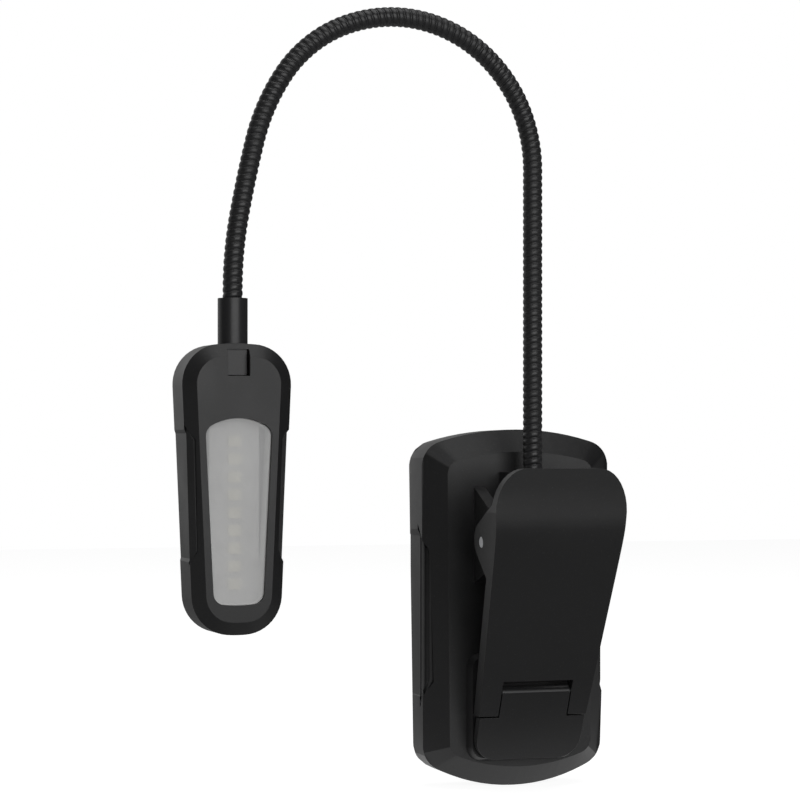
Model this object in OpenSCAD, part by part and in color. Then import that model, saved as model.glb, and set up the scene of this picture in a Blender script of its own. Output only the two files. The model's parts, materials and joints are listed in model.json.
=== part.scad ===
// Clip-on reading lamp: a rechargeable base with a sprung clip, a flexible neck and a flat light head.
// The frame: +Z up, the clip side faces -Y, the origin is the centre of the jaw pad's face.

/* [Base] */
// Half the width of the base across its top end
base_half_top = 26.9; // [26:0.1:29]
// Half the width of the base across its bottom end
base_half_bottom = 25.6; // [25:0.1:28]
// Height of the base's top arch above the origin
base_top = 73.8; // [72:0.1:76]
// Depth of the base's bottom arch below the origin
base_bottom = 22.2; // [21:0.1:25]
// Distance from the plateau under the clip to the flat front face
base_depth = 17; // [16.5:0.1:18]
// Thickness of the moulded walls
wall = 1.8; // [1.5:0.1:2]
// Lean of the line where the two base shells meet, in degrees
parting_lean = 1.7; // [0:0.1:2.5]

/* [Clip] */
// Diameter of the clip's hinge pin
pin_d = 3; // [2.6:0.1:3.4]
// Distance of the hinge pin from the plateau
pin_out = 16.8; // [16.2:0.1:17.5]
// Height of the hinge pin above the origin
pin_z = 44.4; // [43.5:0.1:45]
// Half the width of the clip arm at the thumb end
arm_half_top = 18.3; // [18:0.1:19]
// Half the width of the clip arm at the jaw end
arm_half_bottom = 15.2; // [15:0.1:16]
// Height of the thumb end above the origin
arm_top = 63.7; // [62:0.1:65]
// Slope of the lower arm towards the base, run over rise
arm_slope = 0.405; // [0.38:0.005:0.42]
// Thickness of the arm's plate
arm_t = 2.2; // [2:0.1:2.4]
// Height of the jaw pad's face above the plateau
pad_face = 2.4; // [2.2:0.1:2.6]

/* [Neck] */
// Outside diameter of the flexible neck
neck_d = 5.2; // [5:0.1:5.4]
// Distance of the neck's axis from the plateau
neck_out = 8.5; // [8.4:0.1:8.8]
// Height of the neck's lowest bending point above the origin
neck_root_z = 65.6; // [65.4:0.1:66.4]
// Length of each link in the straight stretch
straight_link = 25.7; // [24:0.1:27]
// Length of each link in the arch and the far leg
arch_link = 19.4; // [18.5:0.1:20]
// Bend of each link at rest, from the base to the head, in degrees
link_bend = [0, 0, 0, 28, 29, 29.5, 28.5, 31, 20, 3.5, 10.5];

/* [Head] */
// Height of the head
head_h = 74.3; // [70:0.1:78]
// Half the width of the head across its top end
head_half_top = 14.8; // [14.2:0.1:15.5]
// Half the width of the head across its bottom end
head_half_bottom = 11.6; // [11.2:0.1:12.5]
// Thickness of the head
head_t = 13.8; // [13:0.1:14.5]
// Number of light chips in the row
led_count = 9; // [5:1:9]
// Distance between the chips
led_pitch = 4.56; // [4.2:0.02:4.6]

/* [Power] */
// Radius of the power button
button_r = 6; // [5:0.1:7]
// Thickness of the battery cell
cell_t = 6; // [5:0.1:6]

/* [Hidden] */
LINKS = len(link_bend);

$fn = 48;
eps = 0.01;
BLACK = [0.12, 0.12, 0.13];
DARK_RUBBER = [0.09, 0.09, 0.10];
STEEL = [0.75, 0.76, 0.78];
BOARD_GREEN = [0.10, 0.35, 0.20];
DIFFUSER = [0.82, 0.82, 0.80];
fine = 64;
arc_steps = 9;
run_gap = 0.06;
edge_t = 0.1;
far = 60;

// The base's outline and its plateau
base_corner = 7;
base_rise_top = 5;
base_rise_bottom = 7.3;
border = 6;
plateau_corner = 4;
plateau_rise_top = 3;
plateau_rise_bottom = 4.2;
plateau_top = base_top - 6;
plateau_bottom = base_bottom - 5.7;
parting_y = 5;
parting_z = (base_top - base_bottom) / 2;
front_round = 2.4;
front_in = base_depth - wall;

// The grips in the base's sides
grip_y = 8;
grip_x = 25.6;
grip_turn = -16.3;
grip_w = 5;
grip_low = -0.4;
grip_high = 48.4;
grip_slant = 7;
grip_t = 0.9;
grip_gap = 0.25;
band_x = grip_x + 2.6;

// The base's screws, under the jaw pad
screw_x = 10.5;
screw_z = -8;
screw_r = 1;
screw_head_r = 1.8;
screw_head_h = 1.2;
screw_seat_y = 0.6;
post_y = 6.5;
post_r = 2.6;

// The clip bracket on the plateau
pin_half = arm_half_top - 0.5;
cheek_x = 10.2;
cheek_t = 3.2;
cheek_r = 5;
cheek_top = 58.4;
cheek_bottom = 32.8;
thrust_r = 3.4;
thrust_x = 15.3;
boss_r = 6.2;
boss_top = 62.4;
boss_bottom = 43.5;
jaw_half = 15.6;
jaw_top = 14.2;
jaw_bottom = 14.6;
jaw_rise = 2.2;
jaw_draft = 1;
jaw_corner = 4;
pad_inset = 2.6;
pad_t = 1.2;

// The arm's side profile
shoulder_w = 8.2;
shoulder_h = 11.4;
shoulder_low = arm_top - shoulder_h;
arm_low_y = -8.5;
arm_low_z = -2.8;
arm_waist_y = -29.1;
arm_waist_z = 50;
dish_r = 78;
bend_soft = 1.6;
flange_t = 2;
flange_low = 4.4;
flange_high = 3.2;
ear_r = 4.8;
ear_top = 54.3;
ear_low = 35;
seam_z = -2;
seam_gap = 0.4;

// The fold-out foot
foot_bottom = 14;
foot_corner = 5.8;
foot_top = seam_z - seam_gap;
foot_half_top = arm_half_bottom - 0.1;
foot_half_bottom = arm_half_bottom - 0.5;
foot_t = 3;
foot_axis_z = 4.2;
foot_axis_in = 1.75;
tongue_half = 9.6;
tongue_r = 1.65;
tongue_gap = 0.3;
slot_above = 3.2;
foot_pin_r = 0.8;
foot_pin_half = 13.4;
foot_pad_t = 0.8;
foot_pad_face = -pad_face - 0.2;
foot_pad_back = foot_pad_face - foot_pad_t;

// The clip spring
wire_r = 0.55;
coil_r = 3.4;
coil_half = 4.6;
coil_pitch = 1.25;
coil_sides = 8;
coil_steps = 14;
base_leg_angle = -17;
base_leg_len = 15.6;
arm_leg_angle = 125;
arm_leg_len = 11.9;
arm_leg_gap = 0.3;

// The neck's links
neck_r = neck_d / 2;
ball_r = neck_r - 0.1;
socket_r = neck_r + 0.1;
neck_bore = 1.3;
link_end_len = 2.5;
link_lap = 0.3;
link_step = 0.02;
flare_r = 2.2;
lead_r = 0.8;
lead_gap = 0.35;
anchor_z = 51.6;
elbow_z = 46.5;
lead_turn_r = 3;
lead_hole_r = 1.5;
link_len = [for (i = [0 : LINKS - 1]) link_bend[i] == 0 ? straight_link : arch_link];

// The head
tip = joint_pos(LINKS);
head_x = tip[0];
ferrule_top = tip[1] - 2.2;
ferrule_len = 11.9;
ferrule_r = 3.85;
head_top = ferrule_top - ferrule_len + 0.2;
head_front = 6.2;
head_bottom = head_top - head_h;
head_face = -(neck_out + head_front);
head_back = head_face + head_t;
head_seam = head_face + 2.2;
head_slope_w = 3.3;
head_corner = 10.2;
head_rise_top = 1.5;
head_rise_bottom = 2;
head_wall = 1.5;
plug_half = 2.75;
plug_depth = 6.4;
plug_low = head_top - 8.1;
notch_gap = 0.15;
notch_rim = 1.3;
lens_top = head_top - 19;
lens_bottom = lens_top - 47.6;
lens_half_top = 8.8;
lens_half_bottom = 6.6;
lens_face = head_face + 0.8;
lens_t = 1;
lens_lip = 1;
led_first = lens_top - 5.9;
led_face = -10.55;
led_t = 0.65;
board_t = 1;
led_board_top = head_top - 15.9;
head_screw_spots = [[-7.5, head_top - 12.4], [7.5, head_top - 12.4], [0, head_bottom + 5]];
head_post_r = 2.2;
head_taper = atan((head_half_top - head_half_bottom) / head_h);
head_grip_mid = 35.5;
head_grip_z = head_bottom + head_grip_mid;
head_grip_half = 17.9;
head_grip_slant = 3.8;
head_grip_w = 2.5;
head_grip_turn = -36;
head_grip_t = 0.6;
head_grip_gap = 0.2;
head_grip_x = head_half_bottom + (head_half_top - head_half_bottom) * head_grip_mid / head_h - 0.3;

// The electronics in the base
board_back = 11.4;
board_front = 12.6;
board_half = 19;
board_top = 56;
board_low = -17;
board_cut = 4.5;
button_z = 46;
button_gap = 0.15;
button_sink = 0.25;
button_flange = 1;
button_back = 14.2;
light_z = 58.5;
light_r = 1;
usb_half = 4.5;
usb_t = 3.2;
usb_len = 7.3;
cell_half = 16;
cell_low = 3;
cell_high = 40;
cell_back = 2.6;
cell_corner = 1.5;

// A link is straight, or bends evenly between two short straight ends
function turn_radius(l, b) = (l - 2 * link_end_len) / (b * PI / 180);
function chord(l, b) = b == 0 ? l : 2 * link_end_len * cos(b / 2) + 2 * turn_radius(l, b) * sin(b / 2);
// Place of bending point i, as [x, z]
function heading(i) = i == 0 ? 0 : heading(i - 1) + link_bend[i - 1];
function joint_pos(i) = i == 0 ? [0, neck_root_z] : joint_pos(i - 1) +
    chord(link_len[i - 1], link_bend[i - 1]) *
    [-sin(heading(i - 1) + link_bend[i - 1] / 2), cos(heading(i - 1) + link_bend[i - 1] / 2)];

// Where a line from point p touches a circle about c, on its left (side 1) or right (side -1)
function touch(c, r, p, side) =
    let (v = p - c, a = atan2(v[1], v[0]) + side * acos(r / norm(v))) c + r * [cos(a), sin(a)];

// The arm's outer face: a slope below, a shallow dish above, blended at the bend
function arm_slope_y(z) = arm_low_y - (z - arm_low_z) * arm_slope;
function arm_dish_y(z) = arm_waist_y - pow(z - arm_waist_z, 2) / (2 * dish_r);
function arm_y(z) = let (a = arm_slope_y(z), b = z < arm_waist_z ? arm_waist_y : arm_dish_y(z), d = a - b)
    (a + b + sqrt(d * d + bend_soft)) / 2;
arm_steps = [-foot_bottom, seam_z, 20, 34, 38, 41, 43, 44.5, 46, 47.5, 49, 51, 54, 58, arm_top];
function arm_depth(z) = z < ear_low ? flange_low : z > ear_top ? flange_high :
    flange_low + (flange_high - flange_low) * (z - ear_low) / (ear_top - ear_low);

// Everything is dimensioned from the plateau; the jaw pad's face then lies at Y = 0
module seat() translate([0, pad_face, 0]) children();

// A flat outline in X and Z given thickness between two places along Y
module slab(y0, y1) translate([0, y1, 0]) rotate([90, 0, 0]) linear_extrude(height = y1 - y0) children();

// An outline in Y and Z given thickness between two places along X
module side_slab(x0, x1)
    translate([x0, 0, 0]) rotate([90, 0, 90]) linear_extrude(height = x1 - x0) children();

module x_rod(x0, x1, y, z, r) translate([x0, y, z]) rotate([0, 90, 0]) cylinder(r = r, h = x1 - x0);
module y_rod(x, y0, y1, z, r) translate([x, y1, z]) rotate([90, 0, 0]) cylinder(r = r, h = y1 - y0);
module both_sides() { children(); mirror([1, 0, 0]) children(); }

// Points of an arc from x = -half to half that stands rise high at its middle
function arc_points(half, rise) = let (r = (half * half + rise * rise) / (2 * rise), a = asin(half / r))
    [for (k = [-arc_steps : arc_steps]) [r * sin(a * k / arc_steps), r * cos(a * k / arc_steps) - r]];

// A tapered panel with arched ends and round corners
module arched(half_top, half_bottom, top, bottom, rise_top, rise_bottom, corner)
    offset(r = corner) offset(delta = -corner) polygon(concat(
        [for (p = arc_points(half_top, rise_top)) [-p[0], top + p[1]]],
        [for (p = arc_points(half_bottom, rise_bottom)) [p[0], bottom - p[1]]]));

module base_outline(inset) offset(delta = -inset)
    arched(base_half_top, base_half_bottom, base_top, -base_bottom,
        base_rise_top, base_rise_bottom, base_corner);
module plateau_outline(inset) offset(delta = -inset)
    arched(base_half_top - border, base_half_bottom - border + 0.6, plateau_top, -plateau_bottom,
        plateau_rise_top, plateau_rise_bottom, plateau_corner);

module lean_on_parting()
    translate([0, parting_y, parting_z]) rotate([parting_lean, 0, 0])
        translate([0, -parting_y, -parting_z]) children();
module base_half(y) lean_on_parting() translate([-far, y, -far]) cube([2 * far, far, 3 * far]);

module base_outer() hull() {
    slab(0, edge_t) plateau_outline(0);
    lean_on_parting() slab(parting_y - edge_t, parting_y) base_outline(0);
    slab(base_depth - front_round - edge_t, base_depth - front_round) base_outline(0.2);
    slab(base_depth - front_round / 3, base_depth - front_round / 3 + edge_t) base_outline(front_round / 3);
    slab(base_depth - edge_t, base_depth) base_outline(front_round);
}
module base_inner() hull() {
    slab(wall, wall + edge_t) plateau_outline(0.6 * wall);
    lean_on_parting() slab(parting_y, parting_y + edge_t) base_outline(wall);
    slab(front_in - front_round, front_in - front_round + edge_t) base_outline(wall + 0.2);
    slab(front_in - edge_t, front_in) base_outline(wall + 0.8);
}

// A grip: a long six-cornered inlay in the side, leaning with the border
module grip_shape(low, high, slant, w, extra)
    polygon([[extra, low - extra], [-w - extra, low + slant - extra / 2],
        [-w - extra, high - slant + extra / 2], [extra, high + extra]]);
module base_grip(extra, out) translate([grip_x, grip_y, 0]) rotate([0, 0, grip_turn])
    side_slab(-grip_t, out) grip_shape(grip_low, grip_high, grip_slant, grip_w, extra);
module side_band() slab(grip_y - 0.7, base_depth + 1)
    polygon([[grip_x, grip_low + 3], [band_x, grip_low - 2],
        [band_x, grip_high + 2], [grip_x, grip_high - 3]]);

module base_screw_holes(r, y0, y1) both_sides() y_rod(screw_x, y0, y1, screw_z, r);

module base_front_shell() color(BLACK) seat() difference() {
    union() {
        difference() {
            intersection() { base_outer(); base_half(parting_y); }
            base_inner();
        }
        base_screw_holes(post_r, post_y, front_in + eps);
    }
    both_sides() { base_grip(grip_gap, 4); side_band(); }
    base_screw_holes(screw_r, post_y - eps, front_in - 2);
    y_rod(0, front_in - 1, base_depth + 1, button_z, button_r + button_gap);
    y_rod(0, front_in - 1, base_depth + 1, light_z, light_r);
    usb_block(0.1, base_bottom + 2);
}

module jaw_boss() hull() {
    slab(-eps, edge_t) jaw_outline(0);
    slab(-jaw_rise, -jaw_rise + edge_t) jaw_outline(jaw_draft);
}
module jaw_outline(inset) offset(r = jaw_corner - inset) offset(delta = -jaw_corner)
    polygon([[-jaw_half, -jaw_bottom], [jaw_half, -jaw_bottom], [jaw_half, jaw_top], [-jaw_half, jaw_top]]);

module bracket_cheek() {
    pin = [-pin_out, pin_z];
    top = [0, cheek_top];
    low = [0, cheek_bottom];
    side_slab(cheek_x, cheek_x + cheek_t) {
        polygon([[0.5, cheek_bottom], [0.5, cheek_top], top, touch(pin, cheek_r, top, 1), pin,
            touch(pin, cheek_r, low, -1), low]);
        translate(pin) circle(r = cheek_r, $fn = fine);
    }
    x_rod(cheek_x, thrust_x, -pin_out, pin_z, thrust_r);
}

module neck_boss() translate([0, 0, boss_bottom]) {
    translate([-boss_r, -boss_r, 0]) cube([2 * boss_r, boss_r + 0.5, boss_top - boss_bottom]);
    translate([0, -boss_r, 0]) cylinder(r = boss_r, h = boss_top - boss_bottom);
}

module base_rear_shell() color(BLACK) seat() difference() {
    union() {
        difference() {
            intersection() { base_outer(); base_half(parting_y - far); }
            base_inner();
        }
        jaw_boss();
        both_sides() bracket_cheek();
        neck_boss();
        base_screw_holes(post_r + 0.4, 0.5, post_y);
    }
    both_sides() base_grip(grip_gap, 4);
    both_sides() x_rod(cheek_x - 1, thrust_x + 1, -pin_out, pin_z, pin_d / 2);
    slab(-jaw_rise - 1, pad_t - pad_face) jaw_outline(pad_inset);
    base_screw_holes(screw_r + 0.15, -pad_face, post_y + 1);
    base_screw_holes(screw_head_r + 0.1, -pad_face, screw_seat_y);
    translate([0, -neck_out, anchor_z]) cylinder(r = neck_r, h = 20);
    translate([0, -neck_out, elbow_z - lead_hole_r]) cylinder(r = lead_hole_r, h = 8);
    y_rod(0, -neck_out, wall + 1, elbow_z, lead_hole_r);
}

module base_grip_left() color(DARK_RUBBER) seat() mirror([1, 0, 0]) base_grip(0, 0);
module base_grip_right() color(DARK_RUBBER) seat() base_grip(0, 0);

module base_screws() color(STEEL) seat() both_sides() difference() {
    union() {
        y_rod(screw_x, screw_seat_y - screw_head_h, screw_seat_y, screw_z, screw_head_r);
        y_rod(screw_x, screw_seat_y - eps, post_y + 5, screw_z, screw_r);
    }
    for (a = [0, 90]) translate([screw_x, screw_seat_y - screw_head_h, screw_z]) rotate([0, a, 0])
        cube([2.2, 1.2, 0.5], center = true);
}

module jaw_pad() color(DARK_RUBBER) seat() slab(-pad_face, pad_t - pad_face) jaw_outline(pad_inset + 0.1);

module power_button() color(BLACK) seat() {
    y_rod(0, button_back, base_depth - button_sink, button_z, button_r);
    y_rod(0, button_back, front_in - 0.2, button_z, button_r + button_flange);
}
module button_switch() color(STEEL) seat() {
    translate([-2.6, board_front, button_z - 2.6]) cube([5.2, 0.7, 5.2]);
    y_rod(0, board_front + 0.7 - eps, button_back - 0.45, button_z, 1.5);
}
module status_light() color(DIFFUSER) seat() y_rod(0, board_front + 1, base_depth - 0.1, light_z, light_r);

module main_board() color(BOARD_GREEN) seat() difference() {
    slab(board_back, board_front) polygon([
        [-board_half, board_low + board_cut], [-board_half + board_cut, board_low],
        [board_half - board_cut, board_low], [board_half, board_low + board_cut],
        [board_half, board_top], [-board_half, board_top]]);
    base_screw_holes(post_r + 0.2, board_back - 1, board_front + 1);
}
module chip(x, z, w, h, t) translate([x - w / 2, board_back - t, z - h / 2]) cube([w, t, h]);
module board_chips() color([0.15, 0.15, 0.16]) seat() {
    chip(-11, 50, 5, 4, 1.2);
    chip(11, 50, 4, 4, 2);
    chip(0, -6, 6, 5, 1.5);
    for (i = [0 : 3]) chip(-3 + 2 * i, 53.5, 1, 1.8, 0.6);
}

module usb_block(extra, drop) translate([-usb_half - extra, board_back - usb_t - extra, -drop])
    cube([2 * usb_half + 2 * extra, usb_t + 2 * extra, usb_len + 2]);
module usb_socket() color(STEEL) seat() difference() {
    translate([-usb_half, board_back - usb_t, -base_bottom + 0.5]) cube([2 * usb_half, usb_t, usb_len]);
    translate([-usb_half + 0.3, board_back - usb_t + 0.3, -base_bottom - 1])
        cube([2 * usb_half - 0.6, usb_t - 0.6, usb_len]);
    }

module battery_cell() color([0.55, 0.57, 0.6]) seat() slab(cell_back, cell_back + cell_t)
    offset(r = cell_corner) offset(delta = -cell_corner)
    translate([-cell_half, cell_low]) square([2 * cell_half, cell_high - cell_low]);
module battery_foam() color([0.2, 0.2, 0.22]) seat() slab(wall + 0.1, cell_back)
    translate([-cell_half + 3, cell_low + 3]) square([2 * cell_half - 6, cell_high - cell_low - 6]);

// A lead that runs along Z, turns through a quarter and runs along +Y to y_end
module elbow_lead(x, y, z_start, z_turn, turn_r, y_end, r) {
    up = z_turn > z_start ? 1 : -1;
    translate([x, y, min(z_start, z_turn)]) cylinder(r = r, h = abs(z_turn - z_start));
    translate([x, y + turn_r, z_turn]) mirror([0, 0, up > 0 ? 0 : 1]) rotate([90, 0, 90])
        rotate_extrude(angle = 90, start = 90) translate([turn_r, 0]) circle(r = r, $fn = 24);
    y_rod(x, y + turn_r, y_end, z_turn + up * turn_r, r);
}
module battery_leads() color([0.6, 0.1, 0.1]) seat() for (x = [-3, 3])
    elbow_lead(x, cell_back + cell_t / 2, cell_high, cell_high + 1.5, 2, board_back, 0.6);

// The arm: a bent plate with side walls and ears, cut to its tapered outline
module arm_outline(inset, low) {
    polygon([[-arm_half_bottom + inset, low], [arm_half_bottom - inset, low],
        [arm_half_top - inset, shoulder_low], [-arm_half_top + inset, shoulder_low]]);
    thumb_shoulders(inset);
}
// The thumb end, with a quarter of an ellipse at each corner
module thumb_shoulders(inset) {
    corner = [for (k = [0 : arc_steps]) let (a = 90 * k / arc_steps)
        [arm_half_top - inset - shoulder_w * (1 - cos(a)), shoulder_low + (shoulder_h - inset) * sin(a)]];
    half = concat([[arm_half_top - inset, shoulder_low - eps]], corner);
    polygon(concat(half, [for (k = [len(half) - 1 : -1 : 0]) [-half[k][0], half[k][1]]]));
}
module arm_band(depth) {
    outer = [for (z = arm_steps) if (z >= seam_z) [arm_y(z), z]];
    polygon(concat(outer, [for (i = [len(outer) - 1 : -1 : 0]) outer[i] + [depth, 0]]));
}
module arm_side_region() {
    pin = [-pin_out, pin_z];
    top = [arm_y(ear_top) + flange_high, ear_top];
    low = [arm_y(ear_low) + flange_low, ear_low];
    outer = [for (z = arm_steps) if (z >= seam_z) [arm_y(z), z]];
    polygon(concat(outer, [for (i = [len(outer) - 1 : -1 : 0]) outer[i] + [arm_depth(outer[i][1]), 0]]));
    polygon([top, touch(pin, ear_r, top, -1), pin, touch(pin, ear_r, low, 1), low,
        [arm_y(pin_z) + 1, pin_z]]);
    translate(pin) circle(r = ear_r, $fn = fine);
}
foot_axis_y = arm_y(foot_axis_z) + foot_axis_in / cos(atan(arm_slope));

module clip_arm() color(BLACK) seat() difference() {
    union() {
        intersection() {
            side_slab(-far / 2, far / 2) arm_band(arm_t);
            slab(-far, 0) arm_outline(0, seam_z);
        }
        intersection() {
            side_slab(-far / 2, far / 2) arm_side_region();
            slab(-far, 0) difference() { arm_outline(0, seam_z); arm_outline(flange_t, seam_z - 1); }
        }
        both_sides()
            x_rod(tongue_half + tongue_gap, foot_pin_half + 0.6, foot_axis_y, foot_axis_z, tongue_r);
    }
    x_rod(-far, far, -pin_out, pin_z, pin_d / 2 + run_gap);
    side_slab(-tongue_half - tongue_gap, tongue_half + tongue_gap)
        translate([-far / 2, seam_z - 1]) square([far / 2, foot_axis_z + slot_above - seam_z + 1]);
    x_rod(-foot_pin_half, foot_pin_half, foot_axis_y, foot_axis_z, foot_pin_r);
}
module clip_pin() color(STEEL) seat() x_rod(-pin_half, pin_half, -pin_out, pin_z, pin_d / 2);

module foot_outline() offset(r = foot_corner) offset(delta = -foot_corner)
    polygon([[-foot_half_top, foot_top + 2 * foot_corner], [-foot_half_bottom, -foot_bottom],
        [foot_half_bottom, -foot_bottom], [foot_half_top, foot_top + 2 * foot_corner]]);
module foot_band(z_low, z_high, depth)
    polygon([[arm_slope_y(z_low), z_low], [arm_slope_y(z_high), z_high],
        [arm_slope_y(z_high) + depth, z_high], [arm_slope_y(z_low) + depth, z_low]]);
module clip_foot() color(BLACK) seat() difference() {
    union() {
        intersection() {
            side_slab(-far / 2, far / 2) foot_band(-foot_bottom - 1, foot_top, foot_t);
            slab(-far, 5) foot_outline();
        }
        side_slab(-tongue_half, tongue_half) {
            foot_band(foot_top - 1, foot_axis_z, foot_t);
            translate([foot_axis_y, foot_axis_z]) circle(r = tongue_r, $fn = fine);
        }
    }
    x_rod(-far, far, foot_axis_y, foot_axis_z, foot_pin_r + run_gap);
    slab(foot_pad_back, 10) translate([-far / 2, -far]) square([far, far + foot_top - 1]);
}
module foot_pin() color(STEEL) seat()
    x_rod(-foot_pin_half, foot_pin_half, foot_axis_y, foot_axis_z, foot_pin_r);
module foot_pad() color(DARK_RUBBER) seat() slab(foot_pad_back, foot_pad_face)
    offset(r = 2) offset(delta = -2) translate([-11.5, -foot_bottom + 1.2]) square([23, 5.6]);

// The spring's wire: an eight-sided tube swept along a helix about the pin and out into a leg
coil_turns = 2 * coil_half / coil_pitch;
coil_end = base_leg_angle - 90;
coil_offset = (360 - (coil_end - arm_leg_angle - 90) % 360) % 360;
coil_start = coil_end - 360 * round(coil_turns) + coil_offset;
function coil_at(a) = [-coil_half + 2 * coil_half * (a - coil_start) / (coil_end - coil_start),
    -pin_out + coil_r * cos(a), pin_z + coil_r * sin(a)];
function ring(c, dir, side) = [for (k = [0 : coil_sides - 1])
    c + wire_r * (cos(360 * k / coil_sides) * side + sin(360 * k / coil_sides) * cross(dir, side))];
module wire_tube(points, dirs) {
    n = len(points);
    polyhedron(
        points = [for (i = [0 : n - 1]) each ring(points[i], dirs[i], [1, 0, 0])],
        faces = concat(
            [[for (k = [0 : coil_sides - 1]) k]],
            [for (i = [0 : n - 2], k = [0 : coil_sides - 1])
                let (a = i * coil_sides, b = (k + 1) % coil_sides)
                [a + k, a + coil_sides + k, a + coil_sides + b, a + b]],
            [[for (k = [coil_sides - 1 : -1 : 0]) (n - 1) * coil_sides + k]]));
}
module clip_spring() color(STEEL) seat() {
    count = ceil((coil_end - coil_start) / 360 * coil_steps);
    angles = [for (i = [0 : count]) coil_start + (coil_end - coil_start) * i / count];
    leg_dir = [0, cos(base_leg_angle), sin(base_leg_angle)];
    wire_tube(
        concat([for (a = angles) coil_at(a)], [coil_at(coil_end) + base_leg_len * leg_dir]),
        concat([for (a = angles) [0, -sin(a), cos(a)]], [leg_dir]));
}
module clip_spring_leg() color(STEEL) seat() {
    dir = [0, cos(arm_leg_angle), sin(arm_leg_angle)];
    from = coil_at(coil_start);
    wire_tube([from + arm_leg_gap * dir, from + arm_leg_len * dir], [dir, dir]);
}

// The neck: rigid links with a ball at the far end and a socket at the near end
module at_joint(i) {
    p = joint_pos(i);
    translate([p[0], -neck_out, p[1]]) rotate([0, -heading(i), 0]) children();
}
// A round rod along link i, starting and ending short of its bending points by gap.
// The bend is a hair thinner and laps into the straight ends.
module link_rod(i, r, gap) {
    l = link_len[i];
    b = link_bend[i];
    if (b == 0) translate([0, 0, gap]) cylinder(r = r, h = l - 2 * gap);
    else {
        turn_r = turn_radius(l, b);
        translate([0, 0, gap]) cylinder(r = r, h = link_end_len - gap);
        lap = link_lap / turn_r * 180 / PI;
        translate([-turn_r, 0, link_end_len]) rotate([90, 0, 0]) rotate([0, 0, -lap])
            rotate_extrude(angle = b + 2 * lap) translate([turn_r, 0]) circle(r = r - link_step, $fn = 24);
        link_end(i) translate([0, 0, -link_end_len]) cylinder(r = r, h = link_end_len - gap);
    }
}
// The far end of link i, seen from its near end
module link_end(i) {
    l = link_len[i];
    b = link_bend[i];
    c = chord(l, b);
    translate([-c * sin(b / 2), 0, c * cos(b / 2)]) rotate([0, -b, 0]) children();
}
module flared_bore() translate([0, 0, -eps]) cylinder(r1 = neck_bore, r2 = flare_r, h = ball_r + 0.1);
module neck_link(i) color(BLACK) seat() at_joint(i) difference() {
    union() {
        link_rod(i, neck_r, 0);
        link_end(i) sphere(r = ball_r, $fn = 48);
    }
    link_rod(i, neck_bore, 0);
    sphere(r = socket_r, $fn = 48);
    link_end(i) flared_bore();
}
module neck_lead(i) color(BLACK) seat() at_joint(i) link_rod(i, lead_r, lead_gap);

module neck_anchor() color(BLACK) seat() translate([0, -neck_out, 0]) difference() {
    union() {
        translate([0, 0, anchor_z]) cylinder(r = neck_r, h = neck_root_z - anchor_z);
        translate([0, 0, neck_root_z]) sphere(r = ball_r, $fn = 48);
    }
    translate([0, 0, anchor_z - 1]) cylinder(r = neck_bore, h = neck_root_z - anchor_z + 1);
    translate([0, 0, neck_root_z]) flared_bore();
}
module neck_lead_root() color(BLACK) seat()
    elbow_lead(0, -neck_out, neck_root_z - lead_gap, elbow_z + lead_turn_r, lead_turn_r,
        board_back, lead_r);

module neck_tip() color(BLACK) seat() at_joint(LINKS) difference() {
    cylinder(r = neck_r, h = 11);
    sphere(r = socket_r, $fn = 48);
    translate([0, 0, 1]) cylinder(r = neck_bore, h = 20);
}
module neck_ferrule() color(BLACK) seat() translate([head_x, 0, 0]) difference() {
    union() {
        translate([0, -neck_out, ferrule_top - ferrule_len]) cylinder(r = ferrule_r, h = ferrule_len);
        translate([-plug_half, head_seam, plug_low])
            cube([2 * plug_half, plug_depth, head_top - plug_low]);
    }
    translate([0, -neck_out, tip[1] - 11]) cylinder(r = neck_r, h = 20);
    translate([0, -neck_out, plug_low - 1]) cylinder(r = neck_bore, h = 30);
}

// The head
module head_outline(inset) translate([head_x, 0]) offset(delta = -inset)
    arched(head_half_top, head_half_bottom, head_top, head_bottom,
        head_rise_top, head_rise_bottom, head_corner);
module lens_outline(inset) translate([head_x, 0]) offset(delta = -inset)
    arched(lens_half_top, lens_half_bottom, lens_top, lens_bottom, 3, 0.6, 3);
module head_outer() hull() {
    slab(head_face, head_face + edge_t) head_outline(head_slope_w);
    slab(head_seam, head_seam + edge_t) head_outline(0);
    slab(head_back - 1.6, head_back - 1.5) head_outline(0.1);
    slab(head_back - 0.6, head_back - 0.5) head_outline(0.6);
    slab(head_back - edge_t, head_back) head_outline(1.8);
}
module head_inner() hull() {
    slab(head_face + head_wall, head_face + head_wall + edge_t) head_outline(head_slope_w + 0.4);
    slab(head_seam + 0.4, head_seam + 0.5) head_outline(head_wall);
    slab(head_back - 3.2, head_back - 3.1) head_outline(head_wall + 0.2);
    slab(head_back - head_wall - edge_t, head_back - head_wall) head_outline(head_wall + 1.3);
}
module head_grip(extra, out) translate([head_x + head_grip_x, head_seam + 0.6, head_grip_z])
    rotate([0, head_taper, head_grip_turn])
    side_slab(-head_grip_t, out)
    grip_shape(-head_grip_half, head_grip_half, head_grip_slant, head_grip_w, extra);
module head_band() translate([head_x + head_grip_x, 0, head_grip_z]) rotate([0, head_taper, 0])
    slab(head_seam - 0.7, head_back + 1) polygon([[-0.3, -head_grip_half + 2],
        [2.7, -head_grip_half - 3], [2.7, head_grip_half + 3], [-0.3, head_grip_half - 2]]);
module on_left_of_head() translate([2 * head_x, 0, 0]) mirror([1, 0, 0]) children();
module on_both_of_head() { children(); on_left_of_head() children(); }
module head_grip_pockets() on_both_of_head() { head_grip(head_grip_gap, 3); head_band(); }
module plug_room() translate([head_x - plug_half - notch_gap, head_seam - 1, plug_low - notch_gap])
    cube([2 * (plug_half + notch_gap), plug_depth + 1 + notch_gap, far]);
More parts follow.
